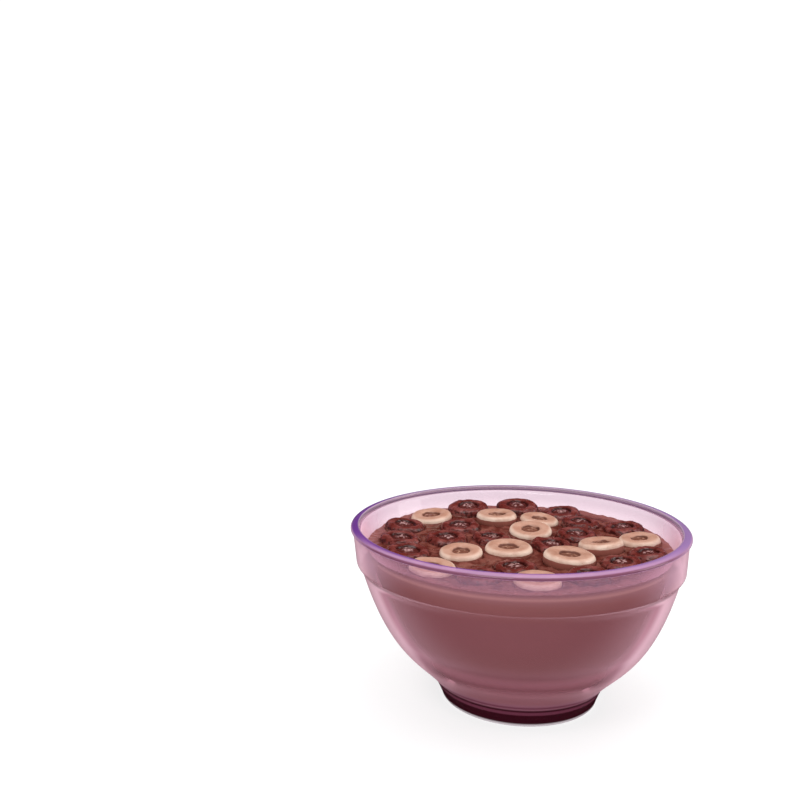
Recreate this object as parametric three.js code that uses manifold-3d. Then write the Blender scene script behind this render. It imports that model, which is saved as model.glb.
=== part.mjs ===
// A toy bowl of cereal: a clear moulded bowl, a solid filling shaped like chocolate milk, and ring-shaped
// cereal pieces of two kinds set into its surface. Millimetres, +Z up, and the origin is on the surface
// that the bowl stands on, in the middle of its foot.
import * as THREE from 'three';
import { mergeVertices } from 'three/addons/utils/BufferGeometryUtils.js';
import Module from 'manifold-3d';

const wasm = await Module();
wasm.setup();

// Bowl.
const rimRadius = 50;
const rimHeight = 51.6;
const lipHalfLength = 1.38; // the lip's section is an ellipse, tilted so that its outer end is lower
const lipHalfThickness = 0.66;
const lipTilt = 15; // degrees
const lipStart = -40; // where the ellipse leaves the band and where it meets the inside, in degrees
const lipEnd = 187;
const bandTopRadius = 49.3;
const bandTopHeight = 50.1;
const bandBottomRadius = 48.3;
const bandBottomHeight = 40.6;
const stepRadius = 47.0;
const stepHeight = 39.4;
const neckRadius = 25.2;
const neckHeight = 5.8;
const footTopRadius = 24.1;
const footTopHeight = 3.7;
const footRadius = 22.9;
const footRound = 1.0;
const recessRadius = 18.5;
const recessDepth = 1.2;
const recessSlope = 0.6;
const floorRadius = 17;
const floorHeight = 6.5;
const turnSegments = 56;

// Filling.
const milkLevel = 45.0;
const clearance = 0.3;

// Cereal loops.
const loopThickness = 4.4;
const loopTop = 2.3; // above the filling, for a loop with no lift
const holeShare = 0.36; // of the outer diameter
const ovality = 0.03;
const lightRoundness = 3; // exponent of the section's curve: 2 is an ellipse, more is squarer
const darkRoundness = 2.0;
const loopSegments = 14;
const sectionSides = 6;
const loopGap = 0.35;
const wallGap = 0.7;

// The loops as they lie: across (+X), deep (+Y is away from the eater), outer diameter, lift over the
// usual height, lean towards -Y and lean towards +X in degrees.
const lightLoops = [
  [-27.5, 25, 14.0, 0, 4, -3],
  [-2.5, 21.5, 13.2, 1.4, 0, 0],
  [9, 22.5, 12.4, 0.3, 2, 5],
  [3, 9.5, 13.3, 0.5, 8, 0],
  [-13.5, -13, 13.1, 0, 4, -2],
  [1.5, -10, 14.4, 0.4, 2, 0],
  [14, -17, 15.0, 1.2, 0, 3],
  [26.5, -3.5, 13.5, 1.0, -4, -5],
  [35, 8.5, 12.6, 0, 2, -4],
  [4.5, -35, 13.2, 0, 3, 0],
  [-23, -30, 13.6, 0, 3, 4],
];
const darkLoops = [
  [-16.5, 32, 14.3, 1.2, 5, 0],
  [3, 35.5, 14.6, 1.4, 5, 2],
  [-34.5, 13, 13.2, 0.1, 2, 4],
  [-34.5, -0.5, 13.2, -0.2, 0, 3],
  [-31.5, -14.5, 13.7, 0, 2, 3],
  [-19.5, 3, 13.6, -0.3, 2, 0],
  [-15.5, 17.5, 13.2, -0.2, 3, -2],
  [-6.5, 4.5, 12.6, -0.4, 0, 3],
  [11, -3, 13.2, -0.2, 2, 4],
  [-9.5, -31.5, 13.0, -0.5, 2, 0],
  [-1.5, -23.5, 13.2, -0.6, 0, -2],
  [18.5, -31, 12.2, 0.2, 4, -5],
  [29.5, -16, 12.2, -0.3, 2, -3],
  [36.5, -5, 12.0, -0.3, 0, -4],
  [17, 33.5, 13.2, 0, 3, -4],
  [31.5, 21, 13.0, 0, 0, -5],
  [17.5, 9, 13.0, 0, 2, 0],
  [20.5, 21.5, 12.4, 0.2, 0, 3],
];

// A small repeatable source of numbers from 0 to 1.
function makeRandom(seed) {
  let state = seed;
  return () => {
    state = (state * 16807) % 2147483647;
    return state / 2147483647;
  };
}

// Merges shared vertices, drops triangles that have no area and turns the faces outwards.
function closed(geometry) {
  geometry.deleteAttribute('normal');
  geometry.deleteAttribute('uv');
  const merged = mergeVertices(geometry, 1e-4);
  const index = [];
  for (let i = 0; i < merged.index.count; i += 3) {
    const [a, b, c] = [0, 1, 2].map((k) => merged.index.getX(i + k));
    if (a !== b && b !== c && c !== a) index.push(a, b, c);
  }
  const position = merged.attributes.position;
  const corner = (i) => new THREE.Vector3().fromBufferAttribute(position, i);
  let volume = 0;
  for (let i = 0; i < index.length; i += 3) {
    volume += corner(index[i]).dot(corner(index[i + 1]).cross(corner(index[i + 2])));
  }
  if (volume < 0) index.reverse();
  merged.setIndex(index);
  return merged;
}

// Turns an outline of [radius, height] pairs round the Z axis.
function turned(outline, segments) {
  const points = outline.map(([radius, height]) => new THREE.Vector2(radius, height));
  return closed(new THREE.LatheGeometry(points, segments).rotateX(Math.PI / 2));
}

function bezier(start, startPull, endPull, end, steps) {
  const corners = [start, startPull, endPull, end].map(([x, y]) => new THREE.Vector2(x, y));
  return new THREE.CubicBezierCurve(...corners).getPoints(steps).map((p) => [p.x, p.y]);
}

function ellipseArc([centreX, centreY], halfWidth, halfHeight, from, to, steps) {
  return Array.from({ length: steps + 1 }, (_, i) => {
    const angle = THREE.MathUtils.degToRad(from + ((to - from) * i) / steps);
    return [centreX + halfWidth * Math.cos(angle), centreY + halfHeight * Math.sin(angle)];
  });
}

// The lip's tilted ellipse just reaches the rim's radius and height.
function lipArc(from, to, steps) {
  const tilt = THREE.MathUtils.degToRad(lipTilt);
  const [across, up] = [Math.cos(tilt), Math.sin(tilt)];
  const centreRadius = rimRadius - Math.hypot(lipHalfLength * across, lipHalfThickness * up);
  const centreHeight = rimHeight - Math.hypot(lipHalfLength * up, lipHalfThickness * across);
  return ellipseArc([0, 0], lipHalfLength, lipHalfThickness, from, to, steps).map(([x, y]) => [
    centreRadius + x * across + y * up,
    centreHeight - x * up + y * across,
  ]);
}

// The inside of the bowl, from the floor up to the lip.
function insideCurve(steps) {
  const lipInside = lipArc(lipStart, lipEnd, 1).at(-1);
  return bezier([floorRadius, floorHeight], [30, 9], [36.2, 19], lipInside, steps);
}

function bowlGeometry() {
  const underside = [
    [0, recessDepth],
    [recessRadius, recessDepth],
    [recessRadius + recessSlope, 0],
  ];
  const footCentre = [footRadius - footRound, footRound];
  const foot = ellipseArc(footCentre, footRound, footRound, -90, 0, 2);
  const body = bezier([neckRadius, neckHeight], [31.8, 13.8], [39.5, 14.6], [stepRadius, stepHeight], 8);
  const band = [
    [bandBottomRadius, bandBottomHeight],
    [bandTopRadius, bandTopHeight],
  ];
  const lip = lipArc(lipStart, lipEnd, 6);
  const inside = insideCurve(8).slice(0, -1).reverse();
  const outline = [...underside, ...foot, [footTopRadius, footTopHeight], ...body, ...band];
  outline.push(...lip, ...inside, [0, floorHeight]);
  return turned(outline, turnSegments);
}

// The filling follows the inside of the bowl at a small clearance, up to its level.
function milkGeometry() {
  const wall = insideCurve(10).map(([radius, height]) => [radius - clearance, height + clearance]);
  const below = wall.filter(([, height]) => height < milkLevel);
  const [lastRadius, lastHeight] = below.at(-1);
  const [nextRadius, nextHeight] = wall[below.length];
  const share = (milkLevel - lastHeight) / (nextHeight - lastHeight);
  const edgeRadius = lastRadius + share * (nextRadius - lastRadius);
  const outline = [[0, floorHeight + clearance], ...below, [edgeRadius, milkLevel], [0, milkLevel]];
  return { geometry: turned(outline, turnSegments), edgeRadius };
}

// A ring with a rounded section, slightly oval. Grow widens the section all round.
function ringGeometry(loop, grow) {
  const holeRadius = (loop.diameter * holeShare) / 2;
  const halfWidth = (loop.diameter / 2 - holeRadius) / 2;
  const middle = holeRadius + halfWidth;
  const section = Array.from({ length: sectionSides }, (_, i) => {
    const angle = (2 * Math.PI * i) / sectionSides;
    const bulge = (value) => Math.sign(value) * Math.abs(value) ** (2 / loop.roundness);
    const out = (halfWidth + grow) * bulge(Math.cos(angle));
    const up = (loopThickness / 2 + grow) * bulge(Math.sin(angle));
    return [middle + out, up];
  });
  const ring = turned([...section, section[0]], loopSegments);
  ring.scale(1 + loop.oval, 1 - loop.oval, 1);
  return ring;
}

// Reads the list above, and gives each loop its own slight oval and turn.
function layOut() {
  const random = makeRandom(41);
  const kinds = [
    ['light_loop', lightLoops, lightRoundness, 0xcaa88c],
    ['dark_loop', darkLoops, darkRoundness, 0x5e3338],
  ];
  const loops = [];
  for (const [name, list, roundness, colour] of kinds) {
    list.forEach(([x, y, diameter, lift, leanFront, leanRight], i) => {
      loops.push({
        name: `${name}_${String(i + 1).padStart(2, '0')}`,
        place: new THREE.Vector2(x, y),
        diameter,
        height: milkLevel + loopTop - loopThickness / 2 + lift,
        leanFront: THREE.MathUtils.degToRad(leanFront),
        leanRight: THREE.MathUtils.degToRad(leanRight),
        turn: Math.PI * random(),
        oval: ovality * random(),
        roundness,
        colour,
      });
    });
  }
  return loops;
}

// Nudges neighbours apart and keeps every loop inside the wall, until nothing overlaps.
function settle(loops, edgeRadius) {
  const reach = (loop) => (loop.diameter / 2) * (1 + loop.oval);
  for (let round = 0; round < 400; round += 1) {
    for (let i = 0; i < loops.length; i += 1) {
      for (let j = i + 1; j < loops.length; j += 1) {
        const between = loops[j].place.clone().sub(loops[i].place);
        const overlap = reach(loops[i]) + reach(loops[j]) + loopGap - between.length();
        if (overlap > 0) {
          between.setLength(overlap / 2);
          loops[j].place.add(between);
          loops[i].place.sub(between);
        }
      }
    }
    for (const loop of loops) {
      loop.place.clampLength(0, edgeRadius - wallGap - reach(loop));
    }
  }
}

function placed(object, loop) {
  object.position.set(loop.place.x, loop.place.y, loop.height);
  object.rotation.set(loop.leanFront, loop.leanRight, loop.turn);
  object.updateMatrix();
  return object;
}

function solidOf(geometry) {
  const vertProperties = new Float32Array(geometry.attributes.position.array);
  const triVerts = new Uint32Array(geometry.index.array);
  return new wasm.Manifold(new wasm.Mesh({ numProp: 3, vertProperties, triVerts }));
}

function geometryOf(solid) {
  const mesh = solid.getMesh();
  const geometry = new THREE.BufferGeometry();
  geometry.setAttribute('position', new THREE.BufferAttribute(new Float32Array(mesh.vertProperties), 3));
  geometry.setIndex(Array.from(mesh.triVerts));
  return geometry;
}

// Takes a pocket for each loop out of the filling.
function withPockets(milk, loops) {
  let solid = solidOf(milk);
  for (const loop of loops) {
    const pocket = placed(new THREE.Mesh(ringGeometry(loop, clearance)), loop);
    solid = solid.subtract(solidOf(pocket.geometry.applyMatrix4(pocket.matrix)));
  }
  return geometryOf(solid);
}

function named(name, geometry, finish) {
  const mesh = new THREE.Mesh(geometry, new THREE.MeshStandardMaterial(finish));
  mesh.name = name;
  return mesh;
}

const milk = milkGeometry();
const loops = layOut();
settle(loops, milk.edgeRadius);

const group = new THREE.Group();
const clearPlastic = { color: 0xdcb9d6, roughness: 0.05, metalness: 0, transparent: true, opacity: 0.4 };
group.add(named('bowl', bowlGeometry(), clearPlastic));
group.add(named('milk', withPockets(milk.geometry, loops), { color: 0x8a5558, roughness: 0.35, metalness: 0 }));
for (const loop of loops) {
  const finish = { color: loop.colour, roughness: 0.45, metalness: 0 };
  group.add(placed(named(loop.name, ringGeometry(loop, 0), finish), loop));
}

export default group;
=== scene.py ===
import math
import random

import bmesh
import bpy
import numpy as np
from mathutils import Matrix, Vector, noise


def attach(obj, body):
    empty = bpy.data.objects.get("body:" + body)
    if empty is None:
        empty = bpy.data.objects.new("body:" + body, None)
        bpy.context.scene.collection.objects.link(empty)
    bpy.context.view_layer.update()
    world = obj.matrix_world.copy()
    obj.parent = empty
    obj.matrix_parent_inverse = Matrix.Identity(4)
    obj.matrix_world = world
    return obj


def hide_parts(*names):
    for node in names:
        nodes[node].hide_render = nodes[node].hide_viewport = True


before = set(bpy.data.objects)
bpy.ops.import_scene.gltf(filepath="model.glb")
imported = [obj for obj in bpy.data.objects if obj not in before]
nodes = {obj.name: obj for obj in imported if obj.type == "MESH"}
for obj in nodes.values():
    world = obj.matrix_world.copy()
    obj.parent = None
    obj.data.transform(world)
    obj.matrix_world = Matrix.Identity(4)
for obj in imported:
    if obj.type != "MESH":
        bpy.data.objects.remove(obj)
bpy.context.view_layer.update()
mm = 0.001
weldDistance = 1e-7  # metres
bandReach = 52  # mm, just more than the bowl's height and radius
print("frame loaded:", len(nodes), "nodes")


# Shader sums are written as plain expressions on these.
class Wire:
    def __init__(self, finish, socket):
        self.finish, self.socket = finish, socket

    def __add__(self, other):
        return self.finish.math("ADD", self, other)

    def __sub__(self, other):
        return self.finish.math("SUBTRACT", self, other)

    def __rsub__(self, other):
        return self.finish.math("SUBTRACT", other, self)

    def __mul__(self, other):
        return self.finish.math("MULTIPLY", self, other)

    def __truediv__(self, other):
        return self.finish.math("DIVIDE", self, other)

    def __pow__(self, other):
        return self.finish.math("POWER", self, other)

    __radd__ = __add__
    __rmul__ = __mul__


class Finish:
    def __init__(self, name):
        self.material = bpy.data.materials.new(name)
        self.material.use_nodes = True
        self.tree = self.material.node_tree
        self.tree.nodes.clear()

    def node(self, kind, settings=None, inputs=None, output=0):
        made = self.tree.nodes.new("ShaderNode" + kind)
        for key, value in (settings or {}).items():
            if key == "stops":
                band = made.color_ramp
                while len(band.elements) < len(value):
                    band.elements.new(0.5)
                for stop, (place, colour) in zip(band.elements, value):
                    stop.position, stop.color = place, colour
            else:
                setattr(made, key, value)
        for key, value in (inputs or {}).items():
            socket = self.pick(made.inputs, key)
            if isinstance(value, Wire):
                self.tree.links.new(value.socket, socket)
            else:
                socket.default_value = value
        return Wire(self, self.pick(made.outputs, output)) if len(made.outputs) else None

    def pick(self, sockets, key):
        if isinstance(key, int):
            return sockets[key]
        return next(s for s in sockets if key == s.identifier or (key == s.name and not s.is_unavailable))

    def math(self, operation, first, second=0.0, clamp=False):
        return self.node("Math", {"operation": operation, "use_clamp": clamp}, {0: first, 1: second})

    def mix(self, share, first, second):
        inputs = {"Factor_Float": share, "A_Color": first, "B_Color": second}
        return self.node("Mix", {"data_type": "RGBA"}, inputs, "Result_Color")

    def step(self, value, low, high):
        settings = {"interpolation_type": "SMOOTHSTEP"}
        inputs = {"Value": value, "From Min": low, "From Max": high}
        return self.node("MapRange", settings, inputs)

    # The same for a height or radius, with its span in mm.
    def past(self, value, span):
        return self.step(value, span[0] * mm, span[1] * mm)

    def place(self):
        return self.node("TexCoord", output="Object")

    def height(self):
        return self.node("SeparateXYZ", inputs={0: self.place()}, output="Z")

    def facing(self):
        return self.node("LayerWeight", inputs={"Blend": 0.5}, output="Facing")

    def fromAxis(self):
        flat = self.node("VectorMath", {"operation": "MULTIPLY"}, {0: self.place(), 1: (1, 1, 0)})
        return self.node("VectorMath", {"operation": "LENGTH"}, {0: flat}, "Value")

    # Stops are (height or radius in mm, colour or share).
    def bands(self, value, stops):
        stops = [(place / bandReach, c if isinstance(c, tuple) else (c, c, c, 1)) for place, c in stops]
        return self.node("ValToRGB", {"stops": stops}, {"Fac": value / (bandReach * mm)})

    def own(self, name):
        return self.node("Attribute", {"attribute_name": name}, output="Fac")

    # Sizes of clouds and depths of bumps are in mm.
    def clouds(self, size, detail=2.0, roughness=0.5):
        inputs = {"Vector": self.place(), "Scale": 1 / (size * mm), "Detail": detail, "Roughness": roughness}
        return self.node("TexNoise", inputs=inputs)

    def patches(self, size, detail, low, high, roughness=0.5):
        return self.step(self.clouds(size, detail, roughness), low, high)

    def bump(self, height, depth, strength):
        return self.node("Bump", inputs={"Height": height, "Distance": depth * mm, "Strength": strength})

    def blend(self, share, first, second):
        return self.node("MixShader", inputs={0: share, 1: first, 2: second})

    def show(self, surface, volume=None):
        inputs = {"Surface": surface} if volume is None else {"Surface": surface, "Volume": volume}
        self.node("OutputMaterial", inputs=inputs)
        return self.material


def srgb(red, green, blue):
    shares = [c / 255 for c in (red, green, blue)]
    linear = [s / 12.92 if s <= 0.04045 else ((s + 0.055) / 1.055) ** 2.4 for s in shares]
    return (*linear, 1.0)


# Meshes.
def bezier(start, startPull, endPull, end, steps):
    corners = [Vector(p) for p in (start, startPull, endPull, end)]
    points = []
    for i in range(steps + 1):
        t = i / steps
        weights = ((1 - t) ** 3, 3 * t * (1 - t) ** 2, 3 * t * t * (1 - t), t**3)
        point = sum((c * w for c, w in zip(corners, weights)), Vector((0, 0)))
        points.append((point.x, point.y))
    return points


def ellipseArc(centre, halfWidth, halfHeight, start, end, steps):
    angles = [math.radians(start + (end - start) * i / steps) for i in range(steps + 1)]
    return [(centre[0] + halfWidth * math.cos(a), centre[1] + halfHeight * math.sin(a)) for a in angles]


def spinRound(shape, turns):
    bmesh.ops.spin(shape, geom=shape.verts[:] + shape.edges[:], cent=(0, 0, 0), axis=(0, 0, 1),
                   angle=2 * math.pi, steps=turns, use_merge=True)


def finishPiece(name, shape, material, replaced, slot):
    bmesh.ops.remove_doubles(shape, verts=shape.verts, dist=weldDistance)
    bmesh.ops.recalc_face_normals(shape, faces=shape.faces)
    mesh = bpy.data.meshes.new(name)
    shape.to_mesh(mesh)
    shape.free()
    mesh.shade_smooth()
    mesh.materials.append(material)
    piece = bpy.data.objects.new(name, mesh)
    bpy.context.scene.collection.objects.link(piece)
    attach(piece, "root")
    if replaced:
        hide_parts(replaced)
    return piece


# Bowl, in millimetres until it is made.
bowl = {
    "rimRadius": 50, "rimHeight": 51.6, "lipHalfLength": 1.38, "lipHalfThickness": 0.66, "lipTilt": 15,
    "bandTop": (49.3, 50.1), "bandBottom": (48.3, 40.6), "step": (47.0, 39.4),
    "neck": (25.2, 5.8), "footTop": (24.1, 3.7), "footRadius": 22.9, "footRound": 1.0,
    "recessRadius": 18.5, "recessDepth": 1.2, "recessSlope": 0.6, "floor": (17, 6.5),
    "lipFrom": -40, "lipTo": 187,  # degrees round the lip's section
    "lipCut": 50.15, "lipGap": 0.02,  # the lip is a piece of its own above the cut
    "bodyPulls": ((31.8, 13.8), (39.5, 14.6)), "insidePulls": ((30, 9), (36.2, 19)),
    "cornerRound": 0.35, "cornerSteps": 4, "footSteps": 6, "bodySteps": 40, "lipSteps": 26,
    "insideSteps": 44, "turns": 160,
}


# The lip's section is an ellipse, tilted so that its outer end is lower.
def lipArc(steps):
    across, up = math.cos(math.radians(bowl["lipTilt"])), math.sin(math.radians(bowl["lipTilt"]))
    length, thickness = bowl["lipHalfLength"], bowl["lipHalfThickness"]
    centre = (bowl["rimRadius"] - math.hypot(length * across, thickness * up),
              bowl["rimHeight"] - math.hypot(length * up, thickness * across))
    arc = ellipseArc((0, 0), length, thickness, bowl["lipFrom"], bowl["lipTo"], steps)
    return [(centre[0] + x * across + y * up, centre[1] - x * up + y * across) for x, y in arc]


# The wall's inner face, from the floor's edge up to the lip.
def insideCurve(steps):
    return bezier(bowl["floor"], *bowl["insidePulls"], lipArc(1)[-1], steps)


def insideAt(height):
    (r0, h0), (r1, h1) = insideCurve(bowl["insideSteps"])[-2:]
    return (r0 + (r1 - r0) * (height - h0) / (h1 - h0), height)


def spunOutline(points, corners, closed=False):
    shape = bmesh.new()
    verts = [shape.verts.new((r * mm, 0, h * mm)) for r, h in points]
    for pair in zip(verts, verts[1:] + verts[:1] if closed else verts[1:]):
        shape.edges.new(pair)
    sharp = [v for v, (r, h) in zip(verts, points) if (r, h) in corners]
    if sharp:
        bmesh.ops.bevel(shape, geom=sharp, offset=bowl["cornerRound"] * mm, offset_type="OFFSET",
                        affect="VERTICES", segments=bowl["cornerSteps"], profile=0.5, material=-1)
    spinRound(shape, bowl["turns"])
    return shape


def makeLip(material):
    outline = [(bowl["bandTop"][0], bowl["lipCut"])] + lipArc(bowl["lipSteps"]) + [insideAt(bowl["lipCut"])]
    shape = spunOutline(outline, [], closed=True)
    return finishPiece("bowlLip", shape, material, "bowl", "clear_tinted_plastic")


def makeBowl(material):
    radius, depth = bowl["recessRadius"], bowl["recessDepth"]
    recess = [(0, depth), (radius * 0.5, depth), (radius, depth), (radius + bowl["recessSlope"], 0)]
    bend = bowl["footRound"]
    foot = ellipseArc((bowl["footRadius"] - bend, bend), bend, bend, -90, 0, bowl["footSteps"])
    body = bezier(bowl["neck"], *bowl["bodyPulls"], bowl["step"], bowl["bodySteps"])
    top = bowl["lipCut"] - bowl["lipGap"]
    inside = [insideAt(top)] + insideCurve(bowl["insideSteps"])[:-1][::-1]
    outline = recess + foot + [bowl["footTop"]] + body + [bowl["bandBottom"], bowl["bandTop"]]
    outline += [(bowl["bandTop"][0], top)] + inside + [(0, bowl["floor"][1])]
    corners = recess[2:] + [bowl[name] for name in ("footTop", "neck", "step", "bandBottom", "floor")]
    return finishPiece("clearBowl", spunOutline(outline, corners), material, "bowl", "clear_tinted_plastic")


# Each loop's place, tilt and size are read from its solid.
loopReading = {"digits": 7, "ovalFrom": 1.02}  # below that ratio of spreads a loop counts as round


def readLoop(name):
    corners = np.array([v.co for v in nodes[name].data.vertices])
    points = np.unique(np.round(corners, loopReading["digits"]), axis=0)
    centre = points.mean(0)
    spread, axes = np.linalg.eigh(np.cov((points - centre).T))
    up = axes[:, 0] * np.sign(axes[2, 0])
    isOval = spread[2] > spread[1] * loopReading["ovalFrom"]
    along = axes[:, 2] if isOval else np.cross(up, (0, -1, 0))
    along = along / np.linalg.norm(along) * np.sign(along[0])
    side = np.cross(up, along)
    local = (points - centre) @ np.stack([along, side, up]).T
    radii = (np.abs(local[:, 0]).max(), np.abs(local[:, 1]).max())
    outer = sum(radii) / 2 / mm
    return {
        "name": name, "kind": "dark" if name.startswith("dark") else "light", "centre": Vector(centre),
        "turn": Matrix((along, side, up)).transposed(), "outer": outer, "oval": radii[0] / mm / outer,
    }


loops = [readLoop(name) for name in sorted(nodes) if "loop" in name]
print("loops read:", len(loops))

loopLooks = {
    "light": {"roundness": 2.9, "lumps": 0.26, "lumpSize": 5.0, "grain": 0.04, "holeShare": 0.34,
              "holeWander": 0.5, "dropBelow": 0.75, "dropWander": 0.4, "dropReach": 1.35, "wrinkle": 0.1},
    "dark": {"roundness": 2.4, "lumps": 0.5, "lumpSize": 3.2, "grain": 0.16, "holeShare": 0.38,
             "holeWander": 0.35, "dropBelow": 0.45, "dropWander": 0.15, "dropReach": 1.25, "wrinkle": 0.35},
    "halfThickness": 2.2, "turns": 80, "sides": 32, "grainSize": 0.9, "holeWaves": 1.1, "holeFade": 1.5,
    "lumpSink": 0.5, "lumpShare": 0.8,  # lumps are mostly dents, so that the loop keeps its size
    "dropTurns": 40, "dropSides": 24, "dropHalfHeight": 0.9,
    "wrinkleSize": 0.9, "wrinkleFlat": 0.35, "wrinkleSwell": 0.25, "wrinkleRise": 0.6,
}


def noiseSeed(rng):
    return Vector([rng.uniform(-50, 50) for _ in range(3)])


def setInPlace(shape, verts, loop):
    bmesh.ops.scale(shape, vec=(mm, mm, mm), verts=verts)
    place = Matrix.Translation(loop["centre"]) @ loop["turn"].to_4x4()
    bmesh.ops.transform(shape, matrix=place, verts=verts)


# For the finish, rise goes from -1 below to 1 on top, and inner from -1 outside to 1 at the hole.
def makeLoop(loop, material):
    kind = loop["kind"]
    looks = loopLooks[kind]
    halfHeight = loopLooks["halfThickness"]
    holeRadius = loop["outer"] * looks["holeShare"]
    halfWidth = (loop["outer"] - holeRadius) / 2
    middle = holeRadius + halfWidth
    seed = noiseSeed(random.Random(loop["name"]))
    shape = bmesh.new()
    ring = bmesh.ops.create_circle(shape, segments=loopLooks["sides"], radius=1.0, cap_ends=False)["verts"]
    for v in ring:
        c, s = v.co.x, v.co.y
        out = halfWidth * math.copysign(abs(c) ** (2 / looks["roundness"]), c)
        up = halfHeight * math.copysign(abs(s) ** (2 / looks["roundness"]), s)
        v.co = (middle + out, 0, up)
    spinRound(shape, loopLooks["turns"])
    rise = shape.verts.layers.float.new("rise")
    inner = shape.verts.layers.float.new("inner")
    for v in shape.verts:
        reach = math.hypot(v.co.x, v.co.y)
        v[rise] = v.co.z / halfHeight
        v[inner] = (middle - reach) / halfWidth
        spot = v.co + seed
        lump = looks["lumps"] * noise.noise(spot / looks["lumpSize"])
        lump += looks["grain"] * noise.noise(spot / loopLooks["grainSize"])
        lump -= (looks["lumps"] + looks["grain"]) * loopLooks["lumpSink"]
        flat = Vector((v.co.x, v.co.y, 0)).normalized()
        away = flat * (reach - middle) / halfWidth
        away.z = v.co.z / halfHeight
        v.co += away * lump * loopLooks["lumpShare"]
        wander = noise.noise(flat * loopLooks["holeWaves"] + seed) * looks["holeWander"]
        v.co += flat * wander * min(1, max(0, v[inner])) ** loopLooks["holeFade"]
        v.co.x *= loop["oval"]
        v.co.y *= 2 - loop["oval"]
    setInPlace(shape, shape.verts, loop)
    name = kind + "Loop" + loop["name"][-2:]
    return finishPiece(name, shape, material, loop["name"], kind + "_cereal")


# A wrinkled drop fills each hole.
def makeDrops(kind, material):
    looks = loopLooks[kind]
    shape = bmesh.new()
    middle = shape.verts.layers.float.new("middle")
    for loop in loops:
        if loop["kind"] != kind:
            continue
        rng = random.Random("drop" + loop["name"])
        seed = noiseSeed(rng)
        drift = Vector([rng.uniform(-1, 1) * looks["dropWander"] for _ in range(2)] + [0])
        halfHeight = loopLooks["dropHalfHeight"]
        reach = loop["outer"] * looks["holeShare"] * looks["dropReach"]
        drift.z = loopLooks["halfThickness"] - looks["dropBelow"] - halfHeight
        verts = bmesh.ops.create_uvsphere(shape, u_segments=loopLooks["dropTurns"],
                                          v_segments=loopLooks["dropSides"], radius=1.0)["verts"]
        for v in verts:
            x, y, z = v.co
            v[middle] = 1 - math.hypot(x, y)
            spot = Vector((x * reach, y * reach, z * loopLooks["wrinkleFlat"])) / loopLooks["wrinkleSize"]
            wrinkle = noise.noise(spot + seed) * looks["wrinkle"]
            swell = 1 + wrinkle * loopLooks["wrinkleSwell"]
            v.co = Vector((x * reach, y * reach, z * halfHeight)) * swell
            v.co.z += wrinkle * loopLooks["wrinkleRise"]
            v.co += drift
        setInPlace(shape, verts, loop)
    return finishPiece(kind + "Drops", shape, material, None, "milk_filling")


# Filling: a gridded disc for the surface, drawn down along the wall. It creeps up the wall and the loops.
milk = {
    "level": 45.0, "intoWall": 0.1, "cells": 280, "wallSteps": 60,
    "waves": 0.16, "waveSize": 11.0, "waveSlice": 3.7, "lumps": 0.45, "lumpSize": 2.4, "lumpSlice": 8.1,
    "wallRise": 0.45, "wallReach": 0.8, "loopRise": 0.45, "loopReach": 0.8, "loopFar": 4,
    "usualLift": 2.3, "mostLift": 1.5,  # a loop's top over the level, and the most times that it counts
    "underLoop": 0.3,
}


def milkHeight(x, y, edge):
    height = milk["waves"] * noise.noise(Vector((x, y, milk["waveSlice"])) / milk["waveSize"])
    height += milk["lumps"] * noise.noise(Vector((x, y, milk["lumpSlice"])) / milk["lumpSize"])
    height += milk["wallRise"] * math.exp(-(edge - math.hypot(x, y)) / milk["wallReach"])
    for loop in loops:
        centre = loop["centre"] / mm
        beyond = math.hypot(x - centre.x, y - centre.y) - loop["outer"]
        if beyond > milk["loopFar"]:
            continue
        lift = centre.z + loopLooks["halfThickness"] - milk["level"]
        if beyond < 0:
            height -= milk["underLoop"]
        else:
            creep = milk["loopRise"] * math.exp(-beyond / milk["loopReach"])
            height += creep * min(milk["mostLift"], lift / milk["usualLift"])
    return height


def makeMilk(material):
    into = milk["intoWall"]
    wall = [(r + into, h - into) for r, h in insideCurve(milk["wallSteps"])]
    below = [p for p in wall if p[1] < milk["level"] + milk["wallRise"]]
    edge = below[-1][0]
    shape = bmesh.new()
    bmesh.ops.create_grid(shape, x_segments=milk["cells"], y_segments=milk["cells"], size=1.0)
    for v in shape.verts:  # the square becomes a disc
        x, y = v.co.x, v.co.y
        v.co.x, v.co.y = x * math.sqrt(1 - y * y / 2), y * math.sqrt(1 - x * x / 2)
    top = shape.verts.layers.float.new("top")
    for v in shape.verts:
        x, y = v.co.x * edge, v.co.y * edge
        rim = v.is_boundary
        height = below[-1][1] if rim else milk["level"] + milkHeight(x, y, edge)
        v.co = (x * mm, y * mm, height * mm)
        v[top] = 1.0
    ring = [e for e in shape.edges if e.is_boundary]
    for radius, height in below[-2::-1]:
        made = bmesh.ops.extrude_edge_only(shape, edges=ring)["geom"]
        verts = [g for g in made if isinstance(g, bmesh.types.BMVert)]
        ring = [g for g in made if isinstance(g, bmesh.types.BMEdge)]
        for v in verts:
            flat = Vector((v.co.x, v.co.y)).normalized() * radius * mm
            v.co = (flat.x, flat.y, height * mm)
            v[top] = 0.0
    bmesh.ops.holes_fill(shape, edges=ring, sides=0)
    return finishPiece("chocolateMilk", shape, material, "milk", "milk_filling")


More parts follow.
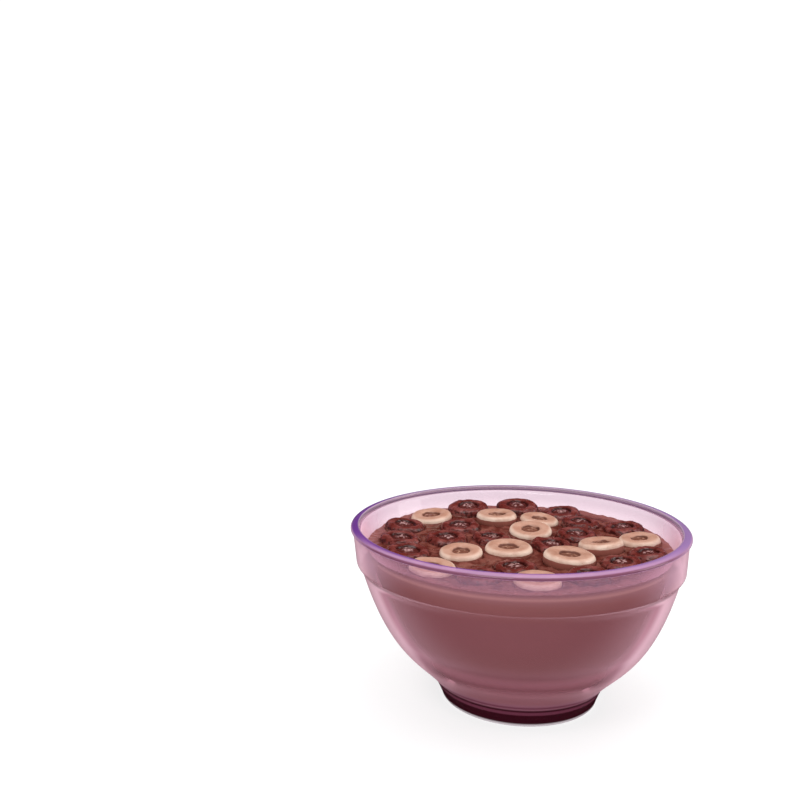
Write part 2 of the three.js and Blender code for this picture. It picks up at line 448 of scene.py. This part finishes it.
# Finishes. Spans are (from, to), in mm for a height or radius and in shares for the rest. Clouds are (size in
# mm, detail), patches (size in mm, detail, from, to, at times roughness) and bumps (depth in mm, strength).
def tintedClear(f, cloudTint, cloudShare, shine, absorbed, density):
    look = {"clear": srgb(252, 246, 250), "cloudRoughness": 0.4, "glossRoughness": 0.04, "headOn": 0.04}
    clear = f.node("BsdfTransparent", inputs={"Color": look["clear"]})
    cloud = f.node("BsdfPrincipled", inputs={
        "Base Color": cloudTint, "Roughness": look["cloudRoughness"], "IOR": 1.5, "Specular IOR Level": 0.1})
    gloss = f.node("BsdfGlossy", inputs={"Color": (1, 1, 1, 1), "Roughness": look["glossRoughness"]})
    glint = look["headOn"] + (1 - look["headOn"]) * f.facing() ** 5  # the same from either side of the wall
    inside = f.node("VolumeAbsorption", inputs={"Color": absorbed, "Density": density})
    return f.show(f.blend(glint * shine, f.blend(cloudShare, clear, cloud), gloss), inside)


def clearPlastic():
    look = {"shadedPlum": srgb(56, 2, 20), "wineGlint": srgb(106, 48, 68), "roseGlint": srgb(142, 90, 106),
            "mauve": srgb(144, 90, 100), "mauveMid": srgb(149, 93, 103), "mauvePaintedLight": srgb(188, 120, 132),
            "hazeAndSheen": srgb(246, 198, 214), "rosy": srgb(180, 118, 137), "pale": srgb(214, 204, 210),
            "lilac": srgb(244, 196, 222), "violet": srgb(216, 176, 202),
            "fillingFrom": (12, 20), "fillingTo": (38.6, 41.4),
            "rosyTurn": (0.5, 0.68), "paleTurn": (0.68, 0.9), "rosyGain": 0.75,
            "absorbed": (0.63, 0.165, 0.295, 1), "density": 40.0}
    f = Finish("clearTintedPlastic")
    height = f.height()
    # The foot's colours are painted light and shade: dark plum is painted shade of the unlit underside seen
    # through the thick base, the wine and rose lines are painted glints along the foot and neck, and the pale
    # line at the very bottom is a painted reflection of the floor.
    cloudTint = f.bands(height, [
        (0.5, look["pale"]), (1.2, look["shadedPlum"]), (3.85, look["shadedPlum"]), (4.2, look["wineGlint"]),
        (4.95, look["wineGlint"]), (5.35, look["shadedPlum"]), (5.6, look["shadedPlum"]), (6.15, look["roseGlint"]),
        # From 9 mm up, the opaque band over the neck takes the filling's mauve and is lightened upwards:
        # painted light that makes up for the shade on the filling behind it.
        (6.8, look["wineGlint"]), (7.7, look["roseGlint"]), (9, look["mauve"]), (12, look["mauveMid"]),
        (16, look["mauvePaintedLight"]), (22, look["hazeAndSheen"]), (41, look["hazeAndSheen"]), (44, look["lilac"]),
        (46, look["lilac"]), (47.5, look["violet"])])
    cloudShare = f.bands(height, [(0.5, 0.7), (1.2, 1.0), (9, 0.97), (12.5, 0.85), (16, 0.15), (20, 0.03),
                                  (40.2, 0.02), (43, 0.04), (45.5, 0.1), (47.5, 0.2)])
    edgeReach = f.bands(height, [(6, 0.0), (7.5, 0.7), (24, 0.8), (34, 0.92), (38.6, 0.92), (39.3, 0.4),
                                 (40.8, 0.4), (41.4, 0.9)])
    edgeFrom = f.bands(height, [(10, 0.68), (22, 0.3)])  # the neck turns away from the eye by itself
    edgeTo = f.bands(height, [(10, 1.0), (22, 0.8)])
    turned = f.node("MapRange", inputs={"Value": f.facing(), "From Min": edgeFrom, "From Max": edgeTo})
    # Beside the filling, the wall's edge is painted in the filling's colour, standing in for refraction, and
    # only its outermost edge is pale: a painted reflection over the plastic's own faint haze.
    byFilling = f.past(height, look["fillingFrom"]) * (1 - f.past(height, look["fillingTo"]))
    gain = 1 + byFilling * f.step(turned, *look["rosyTurn"]) * look["rosyGain"]
    # edgeOn is the share of this painted edge colour.
    edgeOn = f.math("MULTIPLY", turned ** 2, gain, clamp=True) * edgeReach
    edgeTint = f.mix(byFilling * (1 - f.step(turned, *look["paleTurn"])), look["hazeAndSheen"], look["rosy"])
    cloudTint = f.mix(edgeOn, cloudTint, edgeTint)
    cloudShare = cloudShare + edgeOn * (1 - cloudShare)
    shine = f.bands(height, [(0.5, 0.2), (4.5, 0.15), (5.5, 0.02), (16, 0.02), (26, 0.4), (49.7, 0.4),
                             (50.0, 0.0)])
    return tintedClear(f, cloudTint, cloudShare, shine, look["absorbed"], look["density"])


def lipPlastic():
    look = {"blush": srgb(240, 208, 226), "violet": srgb(116, 62, 150), "violetLitSide": srgb(160, 124, 178),
            "orchid": srgb(186, 142, 178), "lilac": srgb(206, 162, 198), "underShade": srgb(128, 78, 98),
            "lowLineGlint": srgb(186, 132, 142),
            "litSide": (0, 50), "lowAngle": (0.45, 0.72), "outerEdge": (49.5, 49.85),
            "innerEdge": (47.6, 47.9), "lowLineGlintTop": (50.25, 50.45), "underFrom": (48.6, 49.2),
            "underTo": (50.95, 51.3), "edgeOn": (0.4, 0.8), "shineFrom": (50.3, 50.5), "shine": 0.6,
            "absorbed": (0.35, 0.02, 0.52, 1), "density": 250.0}
    f = Finish("lipPlastic")
    height, radius = f.height(), f.fromAxis()
    across = f.node("SeparateXYZ", inputs={0: f.place()}, output="X")
    # The lip is painted paler violet towards its right side: painted light.
    violet = f.mix(f.past(across, look["litSide"]), look["violet"], look["violetLitSide"])
    violet = f.mix(f.step(f.facing(), *look["lowAngle"]), look["orchid"], violet)  # deeper at a low angle
    # The outer rounding is painted lilac and the inner edge blush pink: painted highlights.
    top = f.mix(f.past(radius, look["outerEdge"]), violet, look["lilac"])
    top = f.mix(f.past(radius, look["innerEdge"]), look["blush"], top)
    # Low on the lip's outer side, a darker band is painted shade, with a lighter line painted below it as a
    # glint; both fade towards the silhouette.
    underShade = f.mix(f.past(height, look["lowLineGlintTop"]), look["lowLineGlint"], look["underShade"])
    below = f.past(radius, look["underFrom"]) * (1 - f.past(height, look["underTo"]))
    below = below * (1 - f.step(f.facing(), *look["edgeOn"]))
    cloudShare = f.bands(radius, [(47.5, 0.3), (47.9, 0.75), (49.5, 0.8)])
    shine = f.past(height, look["shineFrom"]) * look["shine"]
    tint = f.mix(below, top, underShade)
    return tintedClear(f, tint, cloudShare, shine, look["absorbed"], look["density"])


def milkFilling():
    look = {"top": srgb(88, 36, 29), "topPale": srgb(134, 78, 68), "rim": srgb(136, 82, 78),
            "side": srgb(144, 94, 94), "sideMid": srgb(141, 93, 91), "sideLowPaintedLight": srgb(149, 101, 104),
            "sideBottomPaintedLight": srgb(225, 161, 172), "sideWarm": srgb(150, 98, 90),
            "topEdgeGlint": srgb(188, 142, 130), "sideTop": srgb(152, 102, 94),
            "patches": (2.6, 4.0, 0.4, 0.66), "patchShare": 0.7, "rimSpan": (40, 44.5),
            "grain": (1.8, 4.0), "grainBump": (0.12, 0.6),
            "sideRoughness": 0.5, "topSmoother": 0.34, "dullSize": 5, "dullShare": 0.2}
    f = Finish("milkFilling")
    onTop = f.own("top")
    # The side is painted lighter towards the bottom: painted light where the filling lies in shade.
    side = f.bands(f.height(), [
        (14, look["sideBottomPaintedLight"]), (18, look["sideLowPaintedLight"]), (22, look["sideMid"]), (30, look["side"]),
        # A light line just under the top edge, where the filling meets the wall, is a painted glint.
        (36, look["side"]), (41, look["sideWarm"]), (42.8, look["sideTop"]), (43.7, look["topEdgeGlint"]),
        (44.1, look["topEdgeGlint"]), (44.9, look["sideTop"])])
    top = f.mix(f.patches(*look["patches"]) * look["patchShare"], look["top"], look["topPale"])
    top = f.mix(f.past(f.fromAxis(), look["rimSpan"]), top, look["rim"])
    smoother = look["topSmoother"] - f.clouds(look["dullSize"]) * look["dullShare"]
    roughness = look["sideRoughness"] - onTop * smoother
    relief = f.bump(f.clouds(*look["grain"]) * onTop, *look["grainBump"])
    surface = f.node("BsdfPrincipled", inputs={
        "Base Color": f.mix(onTop, side, top), "Roughness": roughness, "IOR": 1.45,
        "Specular IOR Level": 0.25, "Normal": relief})
    return f.show(surface)


# The drops' pale patches, kept near their middles, are painted highlights.
dropLooks = {
    "dark": {"base": srgb(84, 34, 31), "pale": srgb(176, 136, 134), "paleFrom": 0.46},
    "light": {"base": srgb(118, 72, 58), "pale": srgb(186, 142, 120), "paleFrom": 0.56},
    "palePatches": (0.9, 2.0), "paleSpan": 0.14, "paleMiddle": (0.3, 0.6),
    "wrinkles": (0.6, 1.0), "wrinkleBump": (0.08, 0.5), "coat": 0.5,
}


def wetDrops(kind):
    look = dropLooks[kind]
    f = Finish(kind + "WetDrops")
    paleTo = look["paleFrom"] + dropLooks["paleSpan"]
    # pale is the share of the painted highlight.
    pale = f.patches(*dropLooks["palePatches"], look["paleFrom"], paleTo)
    pale = pale * f.step(f.own("middle"), *dropLooks["paleMiddle"])
    relief = f.bump(f.clouds(*dropLooks["wrinkles"]), *dropLooks["wrinkleBump"])
    surface = f.node("BsdfPrincipled", inputs={
        "Base Color": f.mix(pale, look["base"], look["pale"]), "Roughness": 0.25, "IOR": 1.5,
        "Specular IOR Level": 0.4, "Coat Weight": dropLooks["coat"], "Coat Roughness": 0.06,
        "Coat IOR": 1.5, "Normal": relief})
    return f.show(surface)


def lightCereal():
    look = {"paint": srgb(188, 144, 125), "paintBevelHighlight": srgb(234, 208, 190), "paintWarm": srgb(174, 125, 105),
            "side": srgb(148, 86, 74), "hole": srgb(112, 66, 52),
            "mottle": (3.2, 3.0, 0.35, 0.7), "palePatches": (5, 2.0, 0.35, 0.6), "paleOutside": (0.3, 1.0),
            "paleLeast": 0.4, "paleMore": 0.5,
            "edgeWaves": (2.4, 2.0), "edgeWander": 0.25, "paintFrom": (0.30, 0.38),
            "holeWaves": (2.4, 1.0), "holeWander": 0.4, "paintTo": (0.78, 0.92), "holeSpan": (0.4, 0.8),
            "speckle": (0.5, 2.0, 0.60, 0.72), "speckleShare": 0.25,
            "grain": (1.1, 3.0), "grainBump": (0.05, 0.6), "bareRoughness": 0.55, "paintSmoother": 0.2}
    f = Finish("lightCereal")
    rise, inner = f.own("rise"), f.own("inner")
    paint = f.mix(f.patches(*look["mottle"]), look["paint"], look["paintWarm"])
    # The outer bevel is painted paler all round: a painted highlight.
    pale = f.patches(*look["palePatches"]) * look["paleMore"] + look["paleLeast"]
    pale = f.step(inner * -1.0, *look["paleOutside"]) * pale
    paint = f.mix(pale, paint, look["paintBevelHighlight"])
    edge = rise + (f.clouds(*look["edgeWaves"]) - 0.5) * look["edgeWander"]
    holeEdge = inner + (f.clouds(*look["holeWaves"]) - 0.5) * look["holeWander"]
    painted = f.step(edge, *look["paintFrom"]) * (1 - f.step(holeEdge, *look["paintTo"]))
    base = f.mix(f.step(inner, *look["holeSpan"]), look["side"], look["hole"])
    colour = f.mix(painted, base, paint)
    colour = f.mix(f.patches(*look["speckle"]) * look["speckleShare"], colour, look["side"])
    roughness = look["bareRoughness"] - painted * look["paintSmoother"]
    relief = f.bump(f.clouds(*look["grain"]), *look["grainBump"])
    surface = f.node("BsdfPrincipled", inputs={
        "Base Color": colour, "Roughness": roughness, "IOR": 1.45, "Specular IOR Level": 0.35,
        "Normal": relief})
    return f.show(surface)


def darkCereal():
    look = {"body": srgb(100, 37, 32), "deep": srgb(52, 12, 10), "blush": srgb(128, 66, 62),
            "pale": srgb(184, 134, 124),
            "blushes": (3.6, 3.0, 0.4, 0.65), "pits": (1.1, 3.0, 0.46, 0.58, 0.6), "pitShare": 0.85,
            "pitTop": 1.15, "lowEdgeHighlight": (1.8, 3.0, 0.42, 0.58), "lowEdgeHighlightShare": 0.75, "lowEdgeHighlightTop": 0.3,
            "fade": (0.0, 0.5), "holeSpan": (0.4, 0.85), "outside": (0.4, 0.8),
            "grain": (1.0, 3.0), "pitDepth": 0.5, "grainBump": (0.16, 0.7),
            "roughnessLeast": 0.14, "dullSize": 1.5, "dullShare": 0.2}
    f = Finish("darkCereal")
    rise, inner = f.own("rise"), f.own("inner")
    colour = f.mix(f.patches(*look["blushes"]), look["body"], look["blush"])
    # Pits are dark spots with painted shade in them, and the hole's wall is painted dark: painted shade.
    pits = f.patches(*look["pits"]) * f.step(look["pitTop"] - rise, *look["fade"])
    colour = f.mix(pits * look["pitShare"], colour, look["deep"])
    colour = f.mix(f.step(inner, *look["holeSpan"]), colour, look["deep"])
    # Pale patches low on the outer side are a painted highlight along the lower edge.
    lowEdgeHighlight = f.step(inner * -1.0, *look["outside"]) * f.step(look["lowEdgeHighlightTop"] - rise, *look["fade"])
    colour = f.mix(lowEdgeHighlight * f.patches(*look["lowEdgeHighlight"]) * look["lowEdgeHighlightShare"], colour, look["pale"])
    roughness = f.clouds(look["dullSize"]) * look["dullShare"] + look["roughnessLeast"]
    relief = f.bump(f.clouds(*look["grain"]) - pits * look["pitDepth"], *look["grainBump"])
    surface = f.node("BsdfPrincipled", inputs={
        "Base Color": colour, "Roughness": roughness, "IOR": 1.5, "Specular IOR Level": 0.4,
        "Normal": relief})
    return f.show(surface)


makeBowl(clearPlastic())
makeLip(lipPlastic())
print("bowl made")
makeMilk(milkFilling())
print("filling made")
finishes = {"light": lightCereal(), "dark": darkCereal()}
for loop in loops:
    makeLoop(loop, finishes[loop["kind"]])
for kind in ("dark", "light"):
    makeDrops(kind, wetDrops(kind))
print("loops made")


# Stage and lights in metres, apart from the size of the floor's clouds in mm.
stage = {"front": -1.6, "back": 1.2, "halfWidth": 2.5, "curve": 0.5, "top": 2.2, "curveSteps": 24,
         "tone": srgb(144, 143, 144), "toneDark": srgb(138, 136, 138), "toneSize": 400, "toneShare": 0.04,
         "world": 0.6, "floorGlow": 0.76, "aim": (0, 0, 0.03), "backdropAim": (0, 1.2, 0.5)}


def paleFloor():
    shape = bmesh.new()
    curve = stage["curve"]
    corner = ellipseArc((stage["back"] - curve, curve), curve, curve, -90, 0, stage["curveSteps"])
    side = [(stage["front"], 0.0)] + corner + [(stage["back"], stage["top"])]
    verts = [shape.verts.new((-stage["halfWidth"], y, z)) for y, z in side]
    edges = [shape.edges.new(pair) for pair in zip(verts, verts[1:])]
    made = bmesh.ops.extrude_edge_only(shape, edges=edges)["geom"]
    moved = [g for g in made if isinstance(g, bmesh.types.BMVert)]
    bmesh.ops.translate(shape, vec=(2 * stage["halfWidth"], 0, 0), verts=moved)
    bmesh.ops.recalc_face_normals(shape, faces=shape.faces)
    mesh = bpy.data.meshes.new("floor")
    shape.to_mesh(mesh)
    shape.free()
    mesh.shade_smooth()
    f = Finish("paleFloor")
    tone = f.mix(f.clouds(stage["toneSize"]) * stage["toneShare"], stage["tone"], stage["toneDark"])
    mesh.materials.append(f.show(f.node("BsdfPrincipled", inputs={
        "Base Color": tone, "Roughness": 0.9, "Specular IOR Level": 0.0,
        "Emission Color": srgb(255, 255, 255), "Emission Strength": stage["floorGlow"]})))
    floor = bpy.data.objects.new("floor", mesh)
    floor.visible_glossy = False
    bpy.context.scene.collection.objects.link(floor)


def softLight(name, place, aim, size, power, shown=True):
    data = bpy.data.lights.new(name, "AREA")
    data.shape, data.size, data.size_y = "RECTANGLE", size[0], size[1]
    data.energy = power
    lamp = bpy.data.objects.new(name, data)
    lamp.visible_glossy = lamp.visible_transmission = shown
    lamp.location = place
    lamp.rotation_euler = (Vector(aim) - Vector(place)).to_track_quat("-Z", "Y").to_euler()
    bpy.context.scene.collection.objects.link(lamp)


paleFloor()
softLight("topLight", (0.1, -0.1, 0.9), stage["aim"], size=(0.7, 0.5), power=3.0)
softLight("frontLight", (-0.3, -0.8, 0.95), stage["aim"], size=(0.5, 0.4), power=4.5)
softLight("rightLight", (0.9, 0.1, 0.4), stage["aim"], size=(0.4, 0.6), power=3.0)
softLight("backdropLight", (0, 0.3, 1.5), stage["backdropAim"], size=(2.0, 0.4), power=8, shown=False)
world = bpy.data.worlds.new("studio")
world.use_nodes = True
world.node_tree.nodes["Background"].inputs["Color"].default_value = (1, 1, 1, 1)
world.node_tree.nodes["Background"].inputs["Strength"].default_value = stage["world"]
world.cycles_visibility.glossy = False  # only the lamps are mirrored
bpy.context.scene.world = world
bpy.context.scene.view_settings.view_transform = "Standard"

# Camera: place in mm, angles in degrees, focal length and shift in widths of the frame, clip in metres.
view = {"place": (-1.39, -303.54, 133.86), "yaw": 9.874, "pitch": 1.63, "roll": -0.758,
        "focal": 1.25, "shift": (0.08, -0.15), "clip": (0.01, 20)}


def makeCamera():
    yaw, pitch, roll = (math.radians(view[k]) for k in ("yaw", "pitch", "roll"))
    data = bpy.data.cameras.new("camera")
    data.lens = view["focal"] * data.sensor_width
    data.shift_x, data.shift_y = view["shift"]
    data.clip_start, data.clip_end = view["clip"]
    camera = bpy.data.objects.new("camera", data)
    turn = Matrix.Rotation(yaw, 4, "Z") @ Matrix.Rotation(math.pi / 2 - pitch, 4, "X")
    turn = turn @ Matrix.Rotation(roll, 4, "Z")
    camera.matrix_world = Matrix.Translation(Vector(view["place"]) * mm) @ turn
    bpy.context.scene.collection.objects.link(camera)
    bpy.context.scene.camera = camera


makeCamera()
print("stage, lights and camera made")
